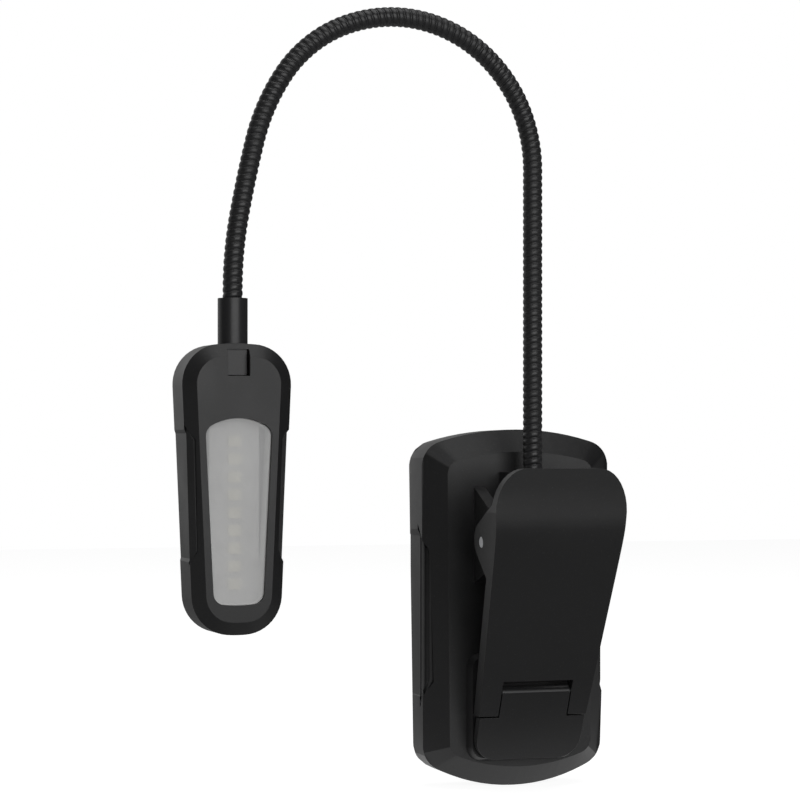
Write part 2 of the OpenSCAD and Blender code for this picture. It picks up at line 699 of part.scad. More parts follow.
module notch() translate([head_x - plug_half - notch_gap, head_face - 1, plug_low - notch_gap])
    cube([2 * (plug_half + notch_gap), head_seam - head_face + 2, head_top - notch_rim - plug_low]);
module head_screw_rods(r, y0, y1) for (p = head_screw_spots) y_rod(head_x + p[0], y0, y1, p[1], r);
module ferrule_room() translate([head_x, -neck_out, head_top - 4]) cylinder(r = ferrule_r + 0.05, h = 12);

module head_slice(y0, y1) slab(y0, y1) translate([head_x - far, 0]) square([2 * far, 2 * far]);

module head_rear_shell() color(BLACK) seat() difference() {
    union() {
        difference() {
            intersection() { head_outer(); head_slice(head_seam, 0); }
            head_inner();
        }
        intersection() { head_outer(); head_screw_rods(head_post_r, head_seam + 3, head_back); }
    }
    head_grip_pockets();
    plug_room();
    ferrule_room();
    head_screw_rods(screw_r + 0.15, head_seam, head_back + 1);
    head_screw_rods(screw_head_r + 0.1, head_back - screw_head_h - 0.1, head_back + 1);
}
module head_bezel() color(BLACK) seat() difference() {
    union() {
        difference() {
            intersection() { head_outer(); head_slice(head_face - 1, head_seam); }
            head_inner();
        }
        intersection() { head_outer(); head_screw_rods(head_post_r, head_face + 0.5, head_seam + 3); }
    }
    head_grip_pockets();
    notch();
    slab(head_face - 1, lens_face + lens_t) lens_outline(-0.05);
    slab(lens_face + lens_t - eps, head_seam + 3) lens_outline(-lens_lip - 0.1);
    head_screw_rods(screw_r, head_seam - 0.4, head_seam + 4);
}
module head_lens() color(DIFFUSER) seat() {
    slab(lens_face, lens_face + lens_t) lens_outline(0);
    slab(lens_face + lens_t, lens_face + lens_t + 0.3) lens_outline(-lens_lip);
}
module head_reflector() color([0.92, 0.92, 0.9]) seat() difference() {
    slab(lens_face + lens_t + 0.3, led_face + led_t) lens_outline(-lens_lip);
    slab(lens_face, 0) lens_outline(0.4);
}
module led_board() color([0.9, 0.9, 0.88]) seat() slab(led_face + led_t, led_face + led_t + board_t)
    translate([head_x - 6.6, lens_bottom]) square([13.2, led_board_top - lens_bottom]);
module led_chips() color([0.95, 0.9, 0.7]) seat() for (i = [0 : led_count - 1])
    translate([head_x - 1.75, led_face, led_first - i * led_pitch - 1.4]) cube([3.5, led_t, 2.8]);
module head_grip_left() color(DARK_RUBBER) seat() on_left_of_head() head_grip(0, 0);
module head_grip_right() color(DARK_RUBBER) seat() head_grip(0, 0);
module head_screws() color(STEEL) seat() {
    head_screw_rods(screw_r, head_seam - 0.2, head_back - screw_head_h + 0.1);
    head_screw_rods(screw_head_r, head_back - screw_head_h, head_back - 0.2);
}
module head_lead() color(BLACK) seat() translate([head_x, -neck_out, led_board_top])
    cylinder(r = lead_r, h = tip[1] - lead_gap - led_board_top);

base_front_shell();
base_rear_shell();
base_grip_left();
base_grip_right();
base_screws();
jaw_pad();
power_button();
button_switch();
status_light();
main_board();
board_chips();
usb_socket();
battery_cell();
battery_foam();
battery_leads();
clip_arm();
clip_pin();
clip_spring();
clip_spring_leg();
clip_foot();
foot_pin();
foot_pad();
neck_anchor();
neck_lead_root();
for (i = [1 : LINKS]) {
    neck_link(i - 1);
    neck_lead(i - 1);
}
neck_tip();
neck_ferrule();
head_rear_shell();
head_bezel();
head_lens();
head_reflector();
led_board();
led_chips();
head_grip_left();
head_grip_right();
head_screws();
head_lead();
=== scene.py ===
"""Looks of a clip-on reading lamp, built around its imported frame.

The base, the sprung clip, the coiled neck and the light head each have a class. A class takes its places
from the frame's boxes and joints, works in millimetres on a bench, and hands each piece over in metres.
"""
import json
import logging
import math
from dataclasses import dataclass
from enum import Enum
from typing import Callable, Iterable, Sequence

import bmesh
import bpy
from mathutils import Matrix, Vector

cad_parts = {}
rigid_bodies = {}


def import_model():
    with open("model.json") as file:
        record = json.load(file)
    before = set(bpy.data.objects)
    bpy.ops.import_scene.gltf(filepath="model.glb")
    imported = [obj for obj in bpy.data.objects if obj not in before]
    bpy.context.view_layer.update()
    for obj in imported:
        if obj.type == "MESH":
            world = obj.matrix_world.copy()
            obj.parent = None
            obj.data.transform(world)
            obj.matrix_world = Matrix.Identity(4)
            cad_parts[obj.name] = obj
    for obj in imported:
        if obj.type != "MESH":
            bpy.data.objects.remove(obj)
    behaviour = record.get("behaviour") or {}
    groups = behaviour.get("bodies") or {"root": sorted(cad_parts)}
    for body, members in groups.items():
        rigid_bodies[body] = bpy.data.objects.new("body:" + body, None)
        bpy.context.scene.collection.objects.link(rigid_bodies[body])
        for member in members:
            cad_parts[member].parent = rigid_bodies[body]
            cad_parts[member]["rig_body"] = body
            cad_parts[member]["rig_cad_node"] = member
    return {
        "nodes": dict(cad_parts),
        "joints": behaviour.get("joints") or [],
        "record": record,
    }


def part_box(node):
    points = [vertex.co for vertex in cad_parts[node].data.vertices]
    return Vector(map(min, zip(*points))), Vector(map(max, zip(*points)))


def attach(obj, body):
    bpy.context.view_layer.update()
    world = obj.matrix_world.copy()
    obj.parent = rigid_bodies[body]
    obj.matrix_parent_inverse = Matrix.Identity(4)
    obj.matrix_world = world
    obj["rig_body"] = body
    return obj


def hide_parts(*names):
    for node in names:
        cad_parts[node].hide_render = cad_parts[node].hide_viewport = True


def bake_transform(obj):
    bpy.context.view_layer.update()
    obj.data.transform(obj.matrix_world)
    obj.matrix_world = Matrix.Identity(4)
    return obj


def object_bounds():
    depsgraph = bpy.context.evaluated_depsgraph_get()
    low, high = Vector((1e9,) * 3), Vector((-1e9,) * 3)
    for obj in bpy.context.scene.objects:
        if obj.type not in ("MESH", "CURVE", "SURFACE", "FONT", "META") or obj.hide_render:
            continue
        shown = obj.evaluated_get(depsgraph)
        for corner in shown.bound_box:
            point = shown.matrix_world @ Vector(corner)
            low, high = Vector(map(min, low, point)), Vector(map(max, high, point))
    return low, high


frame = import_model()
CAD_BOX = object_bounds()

MM = 0.001
LOG = logging.getLogger("lamp")
Test = Callable[[Vector, Vector], bool]


class Part(Enum):
    """What an edit-mode selection is made of."""
    VERTS = "VERT"
    EDGES = "EDGE"
    FACES = "FACE"


class Axis(Enum):
    """The way a round blank points, as the turn that lays it there."""
    X = (0.0, math.pi / 2, 0.0)
    Y = (-math.pi / 2, 0.0, 0.0)
    Z = (0.0, 0.0, 0.0)


def box_mm(node: str) -> tuple[Vector, Vector]:
    """Lowest and highest corner of a frame node, in millimetres."""
    low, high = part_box(node)
    return low / MM, high / MM


class Bench:
    """One mesh on the bench, in millimetres, shaped with edit-mode tools."""

    def __init__(self, obj: bpy.types.Object) -> None:
        """Args:
            obj: The object that is worked on.
        """
        self.obj = obj

    # -- blanks ------------------------------------------------------------------------------------

    @staticmethod
    def _clear() -> None:
        """Leaves edit mode and deselects every object."""
        if bpy.context.object and bpy.context.object.mode == "EDIT":
            bpy.ops.object.mode_set(mode="OBJECT")
        bpy.ops.object.select_all(action="DESELECT")

    @classmethod
    def _added(cls, name: str) -> "Bench":
        """Names the blank that was just added.

        Args:
            name: The piece's name.

        Returns:
            The bench that holds it, with its place in its mesh.
        """
        obj = bpy.context.object
        obj.name = obj.data.name = name
        bpy.ops.object.transform_apply(location=True, rotation=True, scale=True)
        return cls(obj)

    @classmethod
    def block(cls, name: str, low: Sequence[float], high: Sequence[float]) -> "Bench":
        """A rectangular blank.

        Args:
            name: The piece's name.
            low: Its lowest corner.
            high: Its highest corner.

        Returns:
            The bench that holds it.
        """
        cls._clear()
        low, high = Vector(low), Vector(high)
        bpy.ops.mesh.primitive_cube_add(size=1, location=(low + high) / 2)
        bpy.context.object.scale = high - low
        return cls._added(name)

    @classmethod
    def rod(cls, name: str, axis: Axis, at: Sequence[float], radius: float, length: float,
            sides: int = 48) -> "Bench":
        """A round blank.

        Args:
            name: The piece's name.
            axis: The way it points.
            at: Its middle.
            radius: Its radius.
            length: Its length.
            sides: How many flats stand for its round.

        Returns:
            The bench that holds it.
        """
        cls._clear()
        bpy.ops.mesh.primitive_cylinder_add(vertices=sides, radius=radius, depth=length, location=at,
                                            rotation=axis.value)
        return cls._added(name)

    @classmethod
    def ring(cls, name: str, at: Sequence[float], radius: float, sides: int) -> "Bench":
        """A round loop of edges that faces along X, to be wound or swept.

        Args:
            name: The piece's name.
            at: Its middle.
            radius: Its radius.
            sides: How many edges it has.

        Returns:
            The bench that holds it.
        """
        cls._clear()
        bpy.ops.mesh.primitive_circle_add(vertices=sides, radius=radius, location=at, fill_type="NOTHING")
        return cls._added(name)

    @classmethod
    def panel(cls, name: str, shape: "Outline", y: float) -> "Bench":
        """A flat sheet with arched ends and round corners that faces the clip side.

        Args:
            name: The piece's name.
            shape: The outline.
            y: Where it stands.

        Returns:
            The bench that holds it.
        """
        cls._clear()
        shoulder, heel = shape.top - shape.rise_top, shape.bottom + shape.rise_bottom
        bpy.ops.mesh.primitive_plane_add(size=2, location=(shape.x, y, (shoulder + heel) / 2),
                                         rotation=(math.pi / 2, 0, 0))
        bpy.context.object.scale = (shape.half_bottom, (shoulder - heel) / 2, 1)
        bench = cls._added(name)
        middle = (shoulder + heel) / 2
        bench.pick(Part.VERTS, lambda c, n: c.z > middle)
        bench.scale((shape.half_top / shape.half_bottom, 1, 1), (shape.x, y, middle))
        bench.pick(Part.VERTS, lambda c, n: True)
        bench.round(shape.corner, shape.corner_steps, verts=True)
        for high in (True, False):
            end, half = (shoulder, shape.half_top) if high else (heel, shape.half_bottom)
            rise = shape.rise_top if high else -shape.rise_bottom
            bench.pick(Part.EDGES, lambda c, n: abs(c.z - end) < 0.01 and abs(c.x - shape.x) < 0.01)
            bench.split(shape.arch_steps)
            bench.shift(lambda c: (c.z > middle) == high,
                        lambda c: (0, 0, rise * (1 - ((c.x - shape.x) / half) ** 2)))
        return bench

    @classmethod
    def casting(cls, node: str, name: str, edge: float = 0.0, steps: int = 3, sharp: float = 24.0,
                flat: float = 0.4) -> "Bench":
        """A copy of a frame part, merged, with its flats made whole and its edges rounded.

        Args:
            node: The frame part.
            name: The new piece's name.
            edge: Radius that its edges get, or 0 for none.
            steps: Steps across each rounded edge.
            sharp: Least angle of an edge that is rounded, in degrees.
            flat: Most angle between triangles that are made one flat, in degrees.

        Returns:
            The bench that holds it.
        """
        cls._clear()
        obj = frame["nodes"][node].copy()
        obj.data = obj.data.copy()
        obj.parent = None
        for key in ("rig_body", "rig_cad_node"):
            del obj[key]
        obj.name = obj.data.name = name
        obj.data.materials.clear()
        bpy.context.scene.collection.objects.link(obj)
        obj.select_set(True)
        bpy.context.view_layer.objects.active = obj
        bench = cls(obj)
        bench.pick(Part.VERTS, lambda c, n: True)
        bench.scale((1 / MM,) * 3, (0, 0, 0))
        bpy.ops.mesh.remove_doubles(threshold=0.004)
        bpy.ops.mesh.dissolve_limited(angle_limit=math.radians(flat))
        if edge:
            bench.rounded(edge, steps, sharp)
        return bench

    # -- edit mode ---------------------------------------------------------------------------------

    def _edit(self) -> bmesh.types.BMesh:
        """Opens the mesh in edit mode.

        Returns:
            The mesh that is being edited.
        """
        if self.obj.mode != "EDIT":
            self._clear()
            self.obj.select_set(True)
            bpy.context.view_layer.objects.active = self.obj
            bpy.ops.object.mode_set(mode="EDIT")
        return bmesh.from_edit_mesh(self.obj.data)

    def _close(self) -> None:
        """Leaves edit mode with this object alone selected."""
        self._clear()
        self.obj.select_set(True)
        bpy.context.view_layer.objects.active = self.obj

    def pick(self, part: Part, test: Test) -> int:
        """Selects what passes a test on its middle and its normal.

        Args:
            part: What is selected.
            test: The test.

        Returns:
            How many passed.
        """
        mesh = self._edit()
        bpy.ops.mesh.select_mode(type=part.value)
        bpy.ops.mesh.select_all(action="DESELECT")
        count = 0
        if part is Part.VERTS:
            for v in mesh.verts:
                v.select = test(v.co, v.normal)
                count += v.select
        elif part is Part.EDGES:
            for e in mesh.edges:
                normal = sum((f.normal for f in e.link_faces), Vector())
                e.select = test((e.verts[0].co + e.verts[1].co) / 2, normal)
                count += e.select
        else:
            mesh.normal_update()
            for f in mesh.faces:
                f.select = test(f.calc_center_median(), f.normal)
                count += f.select
        mesh.select_flush_mode()
        bmesh.update_edit_mesh(self.obj.data)
        return count

    def pick_rim(self, test: Test) -> int:
        """Selects the open edges whose middle passes a test.

        Args:
            test: The test on an edge's middle.

        Returns:
            How many passed.
        """
        rim = {e.index for e in self._edit().edges if e.is_boundary or e.is_wire}
        middles = {tuple(round(x, 4) for x in (e.verts[0].co + e.verts[1].co) / 2)
                   for e in self._edit().edges if e.index in rim}
        return self.pick(Part.EDGES, lambda c, n: tuple(round(x, 4) for x in c) in middles and test(c, n))

    def move(self, by: Sequence[float]) -> "Bench":
        """Moves the selection by a distance."""
        bpy.ops.transform.translate(value=by)
        return self

    def scale(self, by: Sequence[float], about: Sequence[float]) -> "Bench":
        """Scales the selection about a point."""
        bpy.ops.transform.resize(value=by, center_override=about)
        return self

    def shift(self, test: Callable[[Vector], bool], by: Callable[[Vector], Sequence[float]]) -> "Bench":
        """Moves columns of vertices, each by its own distance.

        Args:
            test: Whether a vertex moves.
            by: The distance for a vertex at that place.

        Returns:
            This bench.
        """
        groups: dict[tuple[float, ...], set[int]] = {}
        for v in self._edit().verts:
            if test(v.co):
                groups.setdefault(tuple(round(x, 5) for x in by(v.co)), set()).add(v.index)
        for distance, members in groups.items():
            mesh = self._edit()
            bpy.ops.mesh.select_mode(type="VERT")
            bpy.ops.mesh.select_all(action="DESELECT")
            for v in mesh.verts:
                v.select = v.index in members
            mesh.select_flush_mode()
            bmesh.update_edit_mesh(self.obj.data)
            self.move(distance)
        return self

    def extrude(self, by: Sequence[float]) -> "Bench":
        """Extrudes the selected faces or edges by a distance."""
        bpy.ops.mesh.extrude_region_move(TRANSFORM_OT_translate={"value": tuple(by)})
        return self

    def inset(self, width: float, depth: float = 0.0) -> "Bench":
        """Insets the selected faces.

        Args:
            width: How far in the new edge lies.
            depth: How far it rises along the normal.

        Returns:
            This bench.
        """
        bpy.ops.mesh.inset(thickness=width, depth=depth, use_even_offset=True)
        return self

    def round(self, width: float, steps: int, verts: bool = False) -> "Bench":
        """Rounds the selected edges, or corners of an outline.

        Args:
            width: The radius.
            steps: Steps across the round.
            verts: Whether corners are rounded, not edges.

        Returns:
            This bench.
        """
        bpy.ops.mesh.bevel(offset=width, segments=steps, profile=0.5, clamp_overlap=True,
                           affect="VERTICES" if verts else "EDGES")
        return self

    def split(self, cuts: int) -> "Bench":
        """Cuts the selected edges into equal lengths."""
        bpy.ops.mesh.subdivide(number_cuts=cuts)
        return self

    def fill(self) -> "Bench":
        """Closes the selected loop with one face."""
        bpy.ops.mesh.edge_face_add()
        return self

    def slice(self, at: Sequence[float], normal: Sequence[float], cap: bool = True) -> "Bench":
        """Cuts the whole mesh at a plane and keeps what lies behind it.

        Args:
            at: A point on the plane.
            normal: The side that is cut away.
            cap: Whether the cut is closed.

        Returns:
            This bench.
        """
        self.pick(Part.VERTS, lambda c, n: True)
        bpy.ops.mesh.bisect(plane_co=at, plane_no=normal, clear_outer=True, use_fill=cap)
        return self

    def right_out(self) -> "Bench":
        """Merges doubles and turns all faces outwards."""
        self.pick(Part.VERTS, lambda c, n: True)
        bpy.ops.mesh.remove_doubles(threshold=0.001)
        bpy.ops.mesh.normals_make_consistent(inside=False)
        return self

    # -- whole pieces ------------------------------------------------------------------------------

    def apply(self, kind: str, **settings: object) -> "Bench":
        """Adds a modifier and applies it.

        Args:
            kind: The modifier's type.
            settings: Its settings.

        Returns:
            This bench.
        """
        self._close()
        modifier = self.obj.modifiers.new(kind.lower(), kind)
        for key, value in settings.items():
            setattr(modifier, key, value)
        bpy.ops.object.modifier_apply(modifier=modifier.name)
        return self

    def rounded(self, edge: float, steps: int, sharp: float) -> "Bench":
        """Rounds every edge that is sharper than an angle, in degrees."""
        return self.apply("BEVEL", width=edge, segments=steps, limit_method="ANGLE",
                          angle_limit=math.radians(sharp), use_clamp_overlap=True, miter_outer="MITER_ARC")

    def weld(self, *others: "Bench") -> "Bench":
        """Adds other benches' meshes as one skin, and uses them up.

        Args:
            others: The benches whose meshes are added.

        Returns:
            This bench.
        """
        for other in others:
            other._close()
            self.apply("BOOLEAN", object=other.obj, operation="UNION", solver="EXACT")
            bpy.data.objects.remove(other.obj)
        return self

    def join(self, *others: "Bench") -> "Bench":
        """Takes other benches' meshes in as separate shells of this piece."""
        for bench in (self, *others):
            bench._close()
        self._clear()
        for bench in (self, *others):
            bench.obj.select_set(True)
        bpy.context.view_layer.objects.active = self.obj
        bpy.ops.object.join()
        return self

    def copy(self, name: str) -> "Bench":
        """A copy with its own mesh.

        Args:
            name: The copy's name.

        Returns:
            The bench that holds it.
        """
        self._close()
        bpy.ops.object.duplicate(linked=False)
        obj = bpy.context.object
        obj.name = obj.data.name = name
        return Bench(obj)

    def done(self, body: str, finish: "Finish", replaces: Iterable[str] = (), soft_angle: float = 32.0,
             blend: tuple | None = None) -> bpy.types.Object:
        """Hands the piece over in metres, shaded and finished: riding on its body, or left in place when it
        spans two bodies.

        Args:
            body: The body that it moves with.
            finish: What it is made of.
            replaces: Frame parts that it stands for.
            soft_angle: Most angle of an edge that is shaded smooth, in degrees.
            blend: Two bodies and two points, for a piece that spans one body and the next; only whether it
                is given is read, and such a piece is baked in place, not attached.

        Returns:
            The finished object.
        """
        self.pick(Part.VERTS, lambda c, n: True)
        self.scale((MM,) * 3, (0, 0, 0))
        self._close()
        bpy.ops.object.shade_smooth_by_angle(angle=math.radians(soft_angle))
        self.apply("WEIGHTED_NORMAL", keep_sharp=True, weight=60)
        self.obj.data.materials.clear()
        self.obj.data.materials.append(finish.material())
        if blend:
            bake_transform(self.obj)
        else:
            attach(self.obj, body)
        if replaces:
            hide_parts(*replaces)
        LOG.info("%-20s %6d faces, on %s", self.obj.name, len(self.obj.data.polygons), body)
        return self.obj


@dataclass(frozen=True)
class Outline:
    """A tapered outline with arched ends and round corners, in millimetres."""
    half_top: float
    half_bottom: float
    top: float
    bottom: float
    rise_top: float = 0.0
    rise_bottom: float = 0.0
    corner: float = 2.0
    x: float = 0.0
    corner_steps: int = 10
    arch_steps: int = 15


# ---- finishes ------------------------------------------------------------------------------------


class Groups:
    """Shader groups that several finishes share, each built once."""

    @staticmethod
    def _new(name: str, inputs: dict[str, float], outputs: Sequence[str]) -> tuple:
        """Starts a group.

        Args:
            name: The group's name.
            inputs: Its inputs and their values.
            outputs: Its outputs.

        Returns:
            The tree and its input and output nodes.
        """
        tree = bpy.data.node_groups.new(name, "ShaderNodeTree")
        for key, value in inputs.items():
            socket = tree.interface.new_socket(name=key, in_out="INPUT", socket_type="NodeSocketFloat")
            socket.default_value = value
        for key in outputs:
            tree.interface.new_socket(name=key, in_out="OUTPUT", socket_type="NodeSocketFloat")
        return tree, tree.nodes.new("NodeGroupInput"), tree.nodes.new("NodeGroupOutput")

    @classmethod
    def moulded(cls) -> bpy.types.NodeTree:
        """Spark-eroded grain with handling smudges.

        Returns:
            A group that gives Height, Smudge and Fleck from Scale in grains per metre.
        """
        name = "moulded_grain"
        if name in bpy.data.node_groups:
            return bpy.data.node_groups[name]
        tree, start, end = cls._new(name, {"Scale": 4000.0}, ("Height", "Smudge", "Fleck"))
        net = Net(tree)
        place = net.add("ShaderNodeTexCoord").outputs["Object"]
        fine = net.noise(place, start.outputs["Scale"], detail=2.0)
        cells = net.add("ShaderNodeTexVoronoi", feature="SMOOTH_F1")
        net.link(place, cells.inputs["Vector"])
        net.link(net.maths("MULTIPLY", start.outputs["Scale"], 0.6), cells.inputs["Scale"])
        height = net.maths("MULTIPLY_ADD", cells.outputs["Distance"], 0.6, fine)
        net.link(height, end.inputs["Height"])
        net.link(net.ramp(net.noise(place, 42.0, detail=5.0, rough=0.62), 0.4, 0.68), end.inputs["Smudge"])
        net.link(net.ramp(net.noise(place, 2600.0, detail=1.0), 0.66, 0.74), end.inputs["Fleck"])
        return tree

    @classmethod
    def dust(cls) -> bpy.types.NodeTree:
        """Fine dust that settles on what faces up.

        Returns:
            A group that gives Dust, from 0 to 1.
        """
        name = "settled_dust"
        if name in bpy.data.node_groups:
            return bpy.data.node_groups[name]
        tree, start, end = cls._new(name, {"Amount": 0.5}, ("Dust",))
        net = Net(tree)
        place = net.add("ShaderNodeTexCoord").outputs["Object"]
        axes = net.add("ShaderNodeSeparateXYZ")
        net.link(net.add("ShaderNodeNewGeometry").outputs["Normal"], axes.inputs[0])
        up = net.ramp(axes.outputs["Z"], 0.2, 1.0)
        specks = net.ramp(net.noise(place, 900.0, detail=4.0, rough=0.7), 0.5, 0.8)
        dust = net.maths("MULTIPLY", net.maths("MULTIPLY", up, specks), start.outputs["Amount"])
        net.link(dust, end.inputs["Dust"])
        return tree


class Net:
    """Short ways to add and link shader nodes in a tree."""

    def __init__(self, tree: bpy.types.NodeTree) -> None:
        """Args:
            tree: The tree that the nodes go in.
        """
        self.tree = tree

    def add(self, kind: str, **settings: object) -> bpy.types.Node:
        """Adds a node.

        Args:
            kind: Its type.
            settings: Its settings.

        Returns:
            The node.
        """
        node = self.tree.nodes.new(kind)
        for key, value in settings.items():
            setattr(node, key, value)
        return node

    def link(self, source: object, target: object) -> None:
        """Links an output, or sets a number, on an input."""
        if isinstance(source, (int, float)):
            target.default_value = source
        else:
            self.tree.links.new(source, target)

    def maths(self, operation: str, a: object, b: object = 0.0, c: object = 0.0) -> object:
        """A sum of two or three values.

        Args:
            operation: The kind of sum.
            a: The first value.
            b: The second value.
            c: The third value.

        Returns:
            The result's socket.
        """
        node = self.add("ShaderNodeMath", operation=operation)
        for value, socket in zip((a, b, c), node.inputs):
            self.link(value, socket)
        return node.outputs[0]

    def noise(self, place: object, scale: object, detail: float = 2.0, rough: float = 0.5) -> object:
        """Cloudy noise.

        Args:
            place: The coordinates.
            scale: Its scale.
            detail: Its octaves.
            rough: How strong the fine octaves are.

        Returns:
            The noise's socket.
        """
        node = self.add("ShaderNodeTexNoise")
        self.link(place, node.inputs["Vector"])
        self.link(scale, node.inputs["Scale"])
        node.inputs["Detail"].default_value = detail
        node.inputs["Roughness"].default_value = rough
        return node.outputs["Fac"]

    def ramp(self, value: object, low: float, high: float, to_low: float = 0.0,
             to_high: float = 1.0) -> object:
        """Maps a range of values smoothly onto another.

        Args:
            value: The value.
            low: Start of its range.
            high: End of its range.
            to_low: What the start becomes.
            to_high: What the end becomes.

        Returns:
            The result's socket.
        """
        node = self.add("ShaderNodeMapRange", interpolation_type="SMOOTHSTEP")
        for key, number in zip(("From Min", "From Max", "To Min", "To Max"), (low, high, to_low, to_high)):
            node.inputs[key].default_value = number
        self.link(value, node.inputs["Value"])
        return node.outputs["Result"]

    def mix(self, share: object, a: Sequence[float], b: Sequence[float]) -> object:
        """Mixes two colours, or a socket and a colour.

        Args:
            share: How much of the second.
            a: The first colour or socket.
            b: The second colour or socket.

        Returns:
            The colour's socket.
        """
        node = self.add("ShaderNodeMix", data_type="RGBA")
        self.link(share, node.inputs["Factor"])
        for colour, socket in ((a, node.inputs["A"]), (b, node.inputs["B"])):
            if isinstance(colour, bpy.types.NodeSocket):
                self.link(colour, socket)
            else:
                socket.default_value = (*colour, 1.0)
        return node.outputs["Result"]

    def group(self, tree: bpy.types.NodeTree, **values: float) -> bpy.types.Node:
        """Places a shared group with its own values.

        Args:
            tree: The group.
            values: Its inputs' values.

        Returns:
            The group's node.
        """
        node = self.add("ShaderNodeGroup", node_tree=tree)
        for key, value in values.items():
            node.inputs[key].default_value = value
        return node

    def bump(self, height: object, depth: float, strength: float = 1.0, under: object = None) -> object:
        """Turns a height into a normal.

        Args:
            height: The height, from 0 to 1.
            depth: What 1 stands for, in metres.
            strength: How much of it shows.
            under: A normal that it lies on.

        Returns:
            The normal's socket.
        """
        node = self.add("ShaderNodeBump")
        node.inputs["Distance"].default_value = depth
        node.inputs["Strength"].default_value = strength
        self.link(height, node.inputs["Height"])
        if under is not None:
            self.link(under, node.inputs["Normal"])
        return node.outputs["Normal"]


@dataclass(frozen=True)
class Finish:
    """What a piece is made of. A kind of finish adds its own pattern in paint."""
    slot: str
    colour: tuple[float, float, float]
    rough: float

    def material(self) -> bpy.types.Material:
        """The finish's material, built once.

        Returns:
            The material.
        """
        name = f"{self.slot}_finish"
        if name in bpy.data.materials:
            return bpy.data.materials[name]
        material = bpy.data.materials.new(name)
        material.use_nodes = True
        tree = material.node_tree
        self.paint(Net(tree), tree.nodes["Principled BSDF"])
        return material

    def paint(self, net: Net, shader: bpy.types.Node) -> None:
        """Builds the pattern. Each kind of finish has its own.

        Args:
            net: The material's node net.
            shader: The material's shader.
        """
        raise NotImplementedError


@dataclass(frozen=True)
class Moulded(Finish):
    """Moulded plastic with an eroded grain, smudges where it is handled, and a little dust."""
    grain: float = 4200.0
    depth: float = 0.000012
    worn: tuple[float, float, float] = (0.05, 0.05, 0.052)
    dusty: float = 0.35
    coat: float = 0.0

    def paint(self, net: Net, shader: bpy.types.Node) -> None:
        """Grain in the bump, smudges in the roughness, flecks and dust in the colour.

        Args:
            net: The material's node net.
            shader: The material's shader.
        """
        grain = net.group(Groups.moulded(), Scale=self.grain)
        dust = net.group(Groups.dust(), Amount=self.dusty).outputs["Dust"]
        tone = net.mix(net.maths("MULTIPLY", grain.outputs["Fleck"], 0.3), self.colour, self.worn)
        tone = net.mix(net.maths("MULTIPLY", dust, 0.25), tone, (0.28, 0.27, 0.26))
        net.link(tone, shader.inputs["Base Color"])
        gloss = net.maths("MULTIPLY_ADD", grain.outputs["Smudge"], -0.07, self.rough)
        net.link(net.maths("MULTIPLY_ADD", dust, 0.2, gloss), shader.inputs["Roughness"])
        net.link(net.bump(grain.outputs["Height"], self.depth, 0.6), shader.inputs["Normal"])
        shader.inputs["Coat Weight"].default_value = self.coat
        shader.inputs["Coat Roughness"].default_value = 0.25


@dataclass(frozen=True)
class Rubber(Finish):
    """Soft-touch rubber: matte, with a fine pebbled skin and a faint sheen."""
    pebble: float = 2600.0
    smudged: tuple[float, float, float] = (0.022, 0.022, 0.023)

    def paint(self, net: Net, shader: bpy.types.Node) -> None:
        """Pebbles in the bump, and lighter rubbed patches.

        Args:
            net: The material's node net.
            shader: The material's shader.
        """
        grain = net.group(Groups.moulded(), Scale=self.pebble)
        dust = net.group(Groups.dust(), Amount=0.9).outputs["Dust"]
        smudge = net.maths("MULTIPLY", grain.outputs["Smudge"], 0.5)
        tone = net.mix(smudge, self.colour, self.smudged)
        net.link(net.mix(net.maths("MULTIPLY", dust, 0.4), tone, (0.2, 0.19, 0.18)),
                 shader.inputs["Base Color"])
        net.link(net.maths("MULTIPLY_ADD", grain.outputs["Smudge"], -0.1, self.rough),
                 shader.inputs["Roughness"])
        net.link(net.bump(grain.outputs["Height"], 0.00003, 0.7), shader.inputs["Normal"])
        shader.inputs["Sheen Weight"].default_value = 0.06
        shader.inputs["Sheen Roughness"].default_value = 0.5


@dataclass(frozen=True)
class Metal(Finish):
    """Drawn or plated metal with fine lines along one way and a few darker spots."""
    lines: tuple[float, float, float] = (300.0, 6000.0, 6000.0)
    depth: float = 0.000006

    def paint(self, net: Net, shader: bpy.types.Node) -> None:
        """Drawing lines in the bump and roughness, faint tarnish in the colour.

        Args:
            net: The material's node net.
            shader: The material's shader.
        """
        place = net.add("ShaderNodeMapping")
        net.link(net.add("ShaderNodeTexCoord").outputs["Object"], place.inputs["Vector"])
        place.inputs["Scale"].default_value = self.lines
        lines = net.noise(place.outputs["Vector"], 1.0, detail=3.0)
        smudge = net.group(Groups.moulded(), Scale=5000.0).outputs["Smudge"]
        dark = tuple(0.6 * c for c in self.colour)
        tone = net.mix(net.maths("MULTIPLY", smudge, 0.5), self.colour, dark)
        net.link(tone, shader.inputs["Base Color"])
        net.link(net.maths("MULTIPLY_ADD", lines, 0.16, self.rough - 0.06), shader.inputs["Roughness"])
        net.link(net.bump(lines, self.depth, 0.5), shader.inputs["Normal"])
        shader.inputs["Metallic"].default_value = 1.0


@dataclass(frozen=True)
class Enamel(Finish):
    """Black lacquer on the neck's wire: glossy, thinner where turns rub."""
    rubbed: tuple[float, float, float] = (0.07, 0.07, 0.072)

    def paint(self, net: Net, shader: bpy.types.Node) -> None:
        """Rubbed patches in the colour, orange peel in the bump.

        Args:
            net: The material's node net.
            shader: The material's shader.
        """
        place = net.add("ShaderNodeTexCoord").outputs["Object"]
        rub = net.ramp(net.noise(place, 700.0, detail=4.0, rough=0.7), 0.56, 0.78)
        tone = net.mix(net.maths("MULTIPLY", rub, 0.5), self.colour, self.rubbed)
        net.link(tone, shader.inputs["Base Color"])
        smudge = net.group(Groups.moulded(), Scale=5000.0).outputs["Smudge"]
        net.link(net.maths("MULTIPLY_ADD", smudge, 0.12, self.rough), shader.inputs["Roughness"])
        net.link(net.bump(net.noise(place, 3200.0), 0.000012, 0.5), shader.inputs["Normal"])


